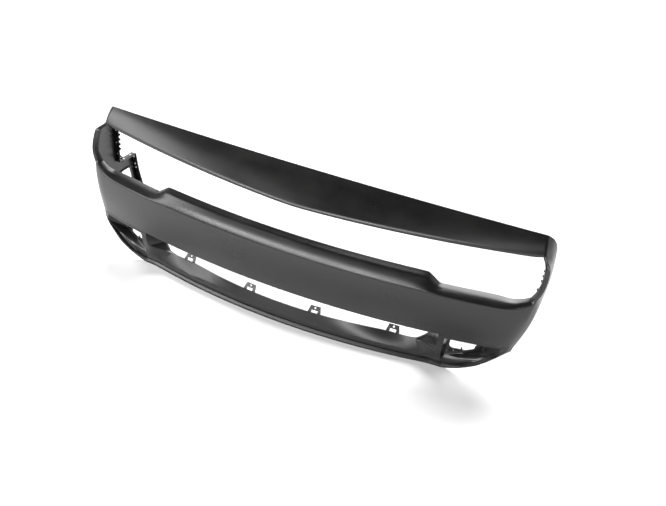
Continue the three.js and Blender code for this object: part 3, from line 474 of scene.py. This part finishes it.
def merged_copy(node: str) -> bmesh.types.BMesh:
    """Copies a frame node's mesh with its loose triangles joined.

    Args:
        node: The frame node's name.

    Returns:
        The copy, closed and with its facing unchanged.
    """
    shape = bmesh.new()
    shape.from_mesh(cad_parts[node].data)
    bmesh.ops.remove_doubles(shape, verts=shape.verts, dist=MERGE_DISTANCE)
    bmesh.ops.dissolve_degenerate(shape, edges=shape.edges, dist=SLIVER_LENGTH)
    return shape


def finished(
    shape: bmesh.types.BMesh, name: str, node: str, materials: list[bpy.types.Material]
) -> bpy.types.Object:
    """Turns a mesh into a piece that stands for its frame node.

    Args:
        shape: The finished mesh.
        name: The piece's name.
        node: The frame node that it stands for.
        materials: Materials by face index.

    Returns:
        The piece's object.
    """
    mesh = bpy.data.meshes.new(name)
    shape.to_mesh(mesh)
    shape.free()
    for material in materials:
        mesh.materials.append(material)
    piece = bpy.data.objects.new(name, mesh)
    bpy.context.scene.collection.objects.link(piece)
    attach(piece, "root")
    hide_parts(node)
    return piece


def subdivide(piece: bpy.types.Object, levels: int) -> None:
    """Rounds a piece with a subdivision surface of the same level everywhere.

    Args:
        piece: The piece's object.
        levels: Subdivision levels, in view and in the render.
    """
    surface = piece.modifiers.new("rounding", "SUBSURF")
    surface.levels = levels
    surface.render_levels = levels


@dataclass
class MouldedShell:
    """A thin moulded skin that follows a frame node, smoothed to its real curvature.

    Attributes:
        node: The frame node's name.
        name: The piece's name.
        slot: The record's material slot; not used.
        wall: Wall thickness in metres.
        levels: Subdivision levels.
        rim_angle: Edges turning more than this, in degrees, stay crisp.
        fold_angle: Edges turning more than this, in degrees, keep a tight radius.
        fold_crease: Crease of those tighter folds.
    """

    node: str
    name: str
    slot: Slot
    wall: float
    levels: int = 2
    rim_angle: float = 62.0
    fold_angle: float = 22.0
    fold_crease: float = 0.88

    def build(self) -> bmesh.types.BMesh:
        """Copies the skin as four-sided faces with its edges creased.

        Returns:
            The mesh, outer faces with material index 0 and inner faces with 1.
        """
        shape = merged_copy(self.node)
        bmesh.ops.join_triangles(
            shape,
            faces=shape.faces,
            angle_face_threshold=PAIR_TURN,
            angle_shape_threshold=math.pi,
        )
        shape.normal_update()
        crease = shape.edges.layers.float.new("crease_edge")
        for edge in shape.edges:
            if len(edge.link_faces) != 2:
                continue
            turn = math.degrees(edge.calc_face_angle(0.0))
            if turn > self.rim_angle:
                edge[crease] = 1.0
                edge.smooth = False
            elif turn > self.fold_angle:
                edge[crease] = self.fold_crease
        for face in shape.faces:
            face.smooth = True
        self._split_sides(shape)
        return shape

    def _split_sides(self, shape: bmesh.types.BMesh) -> None:
        """Gives the inner side of the wall material index 1.

        Args:
            shape: The skin's mesh.
        """
        tree = BVHTree.FromBMesh(shape)
        thin = set()
        for face in shape.faces:
            start = face.calc_center_median() - face.normal * SLIVER_LENGTH
            hit = tree.ray_cast(start, -face.normal, WALL_REACH * self.wall)
            if hit[0] is not None:
                thin.add(face)
        seed = min(thin, key=lambda face: face.calc_center_median().y)
        reached, queue = {seed}, [seed]
        while queue:
            for edge in queue.pop().edges:
                for face in edge.link_faces:
                    if face in thin and face not in reached:
                        reached.add(face)
                        queue.append(face)
        for face in thin - reached:
            face.material_index = 1

    def dress(self, outer: bpy.types.Material, inner: bpy.types.Material) -> bpy.types.Object:
        """Builds the skin and gives it its finishes.

        Args:
            outer: Material of the visible side.
            inner: Material of the back.

        Returns:
            The piece's object.
        """
        piece = finished(self.build(), self.name, self.node, [outer, inner])
        subdivide(piece, self.levels)
        LOG.info("%s: %d faces before rounding", self.name, len(piece.data.polygons))
        return piece


@dataclass
class FlatMoulding:
    """A flat bracket, rail or bezel with softened edges.

    Attributes:
        node: The frame node's name.
        name: The piece's name.
        edge_radius: Edge softening in metres.
    """

    node: str
    name: str
    edge_radius: float = 0.35 * MM

    def build(self) -> bmesh.types.BMesh:
        """Copies the plate, clears its flat faces' cuts and softens its sharp edges.

        Returns:
            The softened mesh.
        """
        shape = merged_copy(self.node)
        bmesh.ops.dissolve_limit(
            shape, angle_limit=FLAT_TURN, verts=shape.verts, edges=shape.edges
        )
        sharp = [edge for edge in shape.edges if edge.calc_face_angle(0.0) > BEVEL_TURN]
        bmesh.ops.bevel(
            shape,
            geom=sharp,
            offset=self.edge_radius,
            offset_type="OFFSET",
            segments=2,
            profile=0.5,
            affect="EDGES",
            material=-1,
            clamp_overlap=True,
        )
        for face in shape.faces:
            face.smooth = True
        for edge in shape.edges:
            if edge.calc_face_angle(0.0) > CRISP_TURN:
                edge.smooth = False
        return shape

    def dress(self, finish: bpy.types.Material) -> bpy.types.Object:
        """Builds the plate in its finish.

        Args:
            finish: The plate's material.

        Returns:
            The piece's object.
        """
        return finished(self.build(), self.name, self.node, [finish])


class Drive(Enum):
    """What the outer end of a fastener's head carries."""

    RIVET = "rivet"
    PIN = "pin"
    SCREW = "screw"


@dataclass
class Fastener:
    """A turned fastener with its head's recess.

    Attributes:
        node: The frame node's name.
        name: The piece's name.
        drive: What the head carries.
        slot: The record's material slot; not used.
    """

    node: str
    name: str
    drive: Drive
    slot: Slot

    def build(self) -> bmesh.types.BMesh:
        """Copies the turned body and sinks its head's recess.

        Returns:
            The mesh, ready for rounding.
        """
        shape = merged_copy(self.node)
        bmesh.ops.dissolve_limit(
            shape, angle_limit=FLAT_TURN, verts=shape.verts, edges=shape.edges
        )
        shape.normal_update()
        caps = (face for face in shape.faces if len(face.verts) > 4)
        self._recess(shape, max(caps, key=lambda face: face.calc_area()))
        crease = shape.edges.layers.float.new("crease_edge")
        shape.normal_update()
        for edge in shape.edges:
            tight = edge.calc_face_angle(0.0) > FASTENER_TURN
            edge[crease] = FASTENER_CREASE if tight else 0.0
        for face in shape.faces:
            face.smooth = True
        return shape

    def _recess(self, shape: bmesh.types.BMesh, head: bmesh.types.BMFace) -> None:
        """Sinks the recess for the fastener's drive into its head.

        Args:
            shape: The fastener's mesh.
            head: The flat end face of the head.
        """
        radius = math.sqrt(head.calc_area() / math.pi)
        rim, depth = {
            Drive.RIVET: (0.55, 0.35),
            Drive.PIN: (0.3, 0.12),
            Drive.SCREW: (0.5, 0.5),
        }[self.drive]
        inward = -head.normal.copy()
        bmesh.ops.inset_region(shape, faces=[head], thickness=radius * rim)
        grown = bmesh.ops.extrude_discrete_faces(shape, faces=[head])
        floor = grown["faces"][0]
        bmesh.ops.translate(shape, verts=floor.verts, vec=inward * radius * depth)

    def dress(self, finish: bpy.types.Material) -> bpy.types.Object:
        """Builds the fastener in its finish.

        Args:
            finish: The fastener's material.

        Returns:
            The piece's object.
        """
        piece = finished(self.build(), self.name, self.node, [finish])
        subdivide(piece, FASTENER_LEVELS)
        return piece


@dataclass
class FastenerSet:
    """Every fastener of one kind on both sides.

    Attributes:
        family: The frame nodes' name before their number.
        count: How many there are on each side.
        drive: What each head carries.
        slot: The record's material slot.
    """

    family: str
    count: int
    drive: Drive
    slot: Slot

    def dress(self, finish: bpy.types.Material) -> list[bpy.types.Object]:
        """Builds the set in its finish.

        Args:
            finish: The fasteners' material.

        Returns:
            The pieces' objects.
        """
        made = []
        for side in Side:
            for number in range(1, self.count + 1):
                node = f"{self.family}_{number}_{side.value}"
                name = f"{self.family}_{number}_fine_{side.value}"
                made.append(Fastener(node, name, self.drive, self.slot).dress(finish))
        LOG.info("%s: %d pieces", self.family, len(made))
        return made


# ---------- studio ----------


@dataclass
class Studio:
    """Plain pale floor, soft lights and the camera.

    Attributes:
        floor_radius: Radius of the round floor.
        floor_tone: Floor's grey.
        room_shade: Colour of the room overhead and in front of the part.
        camera_place: Where the camera stands.
        camera_right: The camera's direction to its right.
        camera_forward: The direction that it looks in.
        lens: Focal length in millimetres.
        sensor_width: Sensor width in millimetres.
    """

    floor_radius: float = 40.0
    floor_tone: float = 0.95
    room_shade: tuple[float, float, float, float] = (0.045, 0.045, 0.048, 1.0)
    camera_place: tuple[float, float, float] = (0.714, -2.033, 1.491)
    camera_right: tuple[float, float, float] = (0.92212, 0.35659, 0.15011)
    camera_forward: tuple[float, float, float] = (-0.24027, 0.8319, -0.50021)
    lens: float = 35.68
    sensor_width: float = 36.0

    def build(self) -> None:
        """Builds the floor, world, lights and camera."""
        self._floor()
        self._world()
        self._lights()
        self._camera()
        bpy.context.scene.view_settings.view_transform = "Standard"

    def _floor(self) -> None:
        """Lays the pale floor under the part."""
        disc = bmesh.new()
        bmesh.ops.create_circle(disc, cap_ends=True, segments=96, radius=self.floor_radius)
        mesh = bpy.data.meshes.new("studio_floor")
        disc.to_mesh(mesh)
        disc.free()
        paint = bpy.data.materials.new("pale_floor")
        paint.use_nodes = True
        shader = paint.node_tree.nodes["Principled BSDF"]
        shader.inputs["Base Color"].default_value = (self.floor_tone,) * 3 + (1.0,)
        shader.inputs["Roughness"].default_value = 0.9
        shader.inputs["Specular IOR Level"].default_value = 0.1
        mesh.materials.append(paint)
        floor = bpy.data.objects.new("studio_floor", mesh)
        bpy.context.scene.collection.objects.link(floor)

    def _world(self) -> None:
        """Lights the room: white behind, dim overhead and in front; white wherever the camera sees it."""
        world = bpy.data.worlds.new("studio_room")
        world.use_nodes = True
        bpy.context.scene.world = world
        bench = NodeBench(world.node_tree)
        back = world.node_tree.nodes["Background"]
        direction = bench.add("ShaderNodeTexCoord").outputs["Generated"]
        parts = bench.add("ShaderNodeSeparateXYZ")
        bench.link(direction, parts.inputs[0])
        depth = bench.ramp(parts.outputs["Y"], -0.45, 0.55)
        ceiling = bench.ramp(parts.outputs["Z"], 0.45, 0.85, 1.0, 0.0)
        bright = bench.math("MULTIPLY", depth, ceiling)
        tone = bench.blend(bright, self.room_shade, WHITE)
        seen = bench.add("ShaderNodeLightPath").outputs["Is Camera Ray"]
        bench.link(bench.blend(seen, tone, WHITE), back.inputs["Color"])
        back.inputs["Strength"].default_value = 1.0

    def _lights(self) -> None:
        """Hangs the soft boxes."""
        self._sky_lamp("back_sky", (-0.1, 0.62, 0.78), 50.0, 4.6)
        self._softbox("left_box", (-2.6, -1.5, 1.5), (-0.8, 0.0, 0.35), (0.8, 1.6), 34.0)
        self._softbox("header_glow", (-1.35, -2.0, 3.0), (-0.5, 0.0, 0.55), (0.7, 0.35), 6.0)
        self._softbox("crease_strip", (-0.9, -3.6, 1.8), (0.0, 0.0, 0.35), (4.6, 0.35), 170.0)

    @staticmethod
    def _sky_lamp(name: str, toward: tuple, spread: float, strength: float) -> None:
        """Lights everything evenly from one wide patch of sky.

        Args:
            name: The light's name.
            toward: Direction of the patch's middle, seen from the part.
            spread: Width of the patch in degrees.
            strength: Brightness.
        """
        data = bpy.data.lights.new(name, "SUN")
        data.angle = math.radians(spread)
        data.energy = strength
        lamp = bpy.data.objects.new(name, data)
        lamp.rotation_mode = "QUATERNION"
        lamp.rotation_quaternion = Vector(toward).to_track_quat("Z", "Y")
        bpy.context.scene.collection.objects.link(lamp)

    @staticmethod
    def _softbox(name: str, place: tuple, aim: tuple, size: tuple, power: float) -> None:
        """Hangs one rectangular soft light.

        Args:
            name: The light's name.
            place: Its centre.
            aim: The point that it faces.
            size: Width and height.
            power: Watts.
        """
        data = bpy.data.lights.new(name, "AREA")
        data.shape = "RECTANGLE"
        data.size, data.size_y = size
        data.energy = power
        lamp = bpy.data.objects.new(name, data)
        lamp.location = place
        lamp.rotation_mode = "QUATERNION"
        lamp.rotation_quaternion = (Vector(aim) - Vector(place)).to_track_quat("-Z", "Y")
        bpy.context.scene.collection.objects.link(lamp)

    def _camera(self) -> None:
        """Sets the camera up high on the right, rolled a little."""
        right = Vector(self.camera_right)
        forward = Vector(self.camera_forward).normalized()
        upward = right.cross(forward).normalized()
        right = forward.cross(upward)
        turned = Matrix((right, upward, -forward)).transposed().to_4x4()
        data = bpy.data.cameras.new("studio_camera")
        data.lens = self.lens
        data.sensor_width = self.sensor_width
        camera = bpy.data.objects.new("studio_camera", data)
        camera.matrix_world = Matrix.Translation(self.camera_place) @ turned
        bpy.context.scene.collection.objects.link(camera)
        bpy.context.scene.camera = camera


def main() -> None:
    """Builds every piece in order, then the studio."""
    logging.basicConfig(level=logging.INFO, format="%(message)s")
    effects = SurfaceEffects()
    satin = SATIN_PRIMER.material(effects)
    bare = RAW_BACK.material(effects)
    nylon = BRACKET_NYLON.material(effects)
    pin = PIN_NYLON.material(effects)
    zinc = ZINC_PLATE.material(effects)

    MouldedShell("cover_skin", "cover_shell", Slot.COVER, COVER_WALL).dress(satin, bare)
    MouldedShell("lower_valance", "valance_shell", Slot.VALANCE, VALANCE_WALL).dress(satin, bare)
    for side in Side:
        for family in ("clip_rail", "arch_bracket", "fog_bezel"):
            FlatMoulding(f"{family}_{side.value}", f"{family}_fine_{side.value}").dress(nylon)
            LOG.info("%s_%s", family, side.value)
    FastenerSet("rail_rivet", 3, Drive.RIVET, Slot.ZINC).dress(zinc)
    FastenerSet("bracket_rivet", 3, Drive.RIVET, Slot.ZINC).dress(zinc)
    FastenerSet("seam_pin", 4, Drive.PIN, Slot.PIN).dress(pin)
    FastenerSet("bezel_screw", 4, Drive.SCREW, Slot.ZINC).dress(zinc)
    Studio().build()
    bpy.context.view_layer.update()


if __name__ == "__main__":
    main()
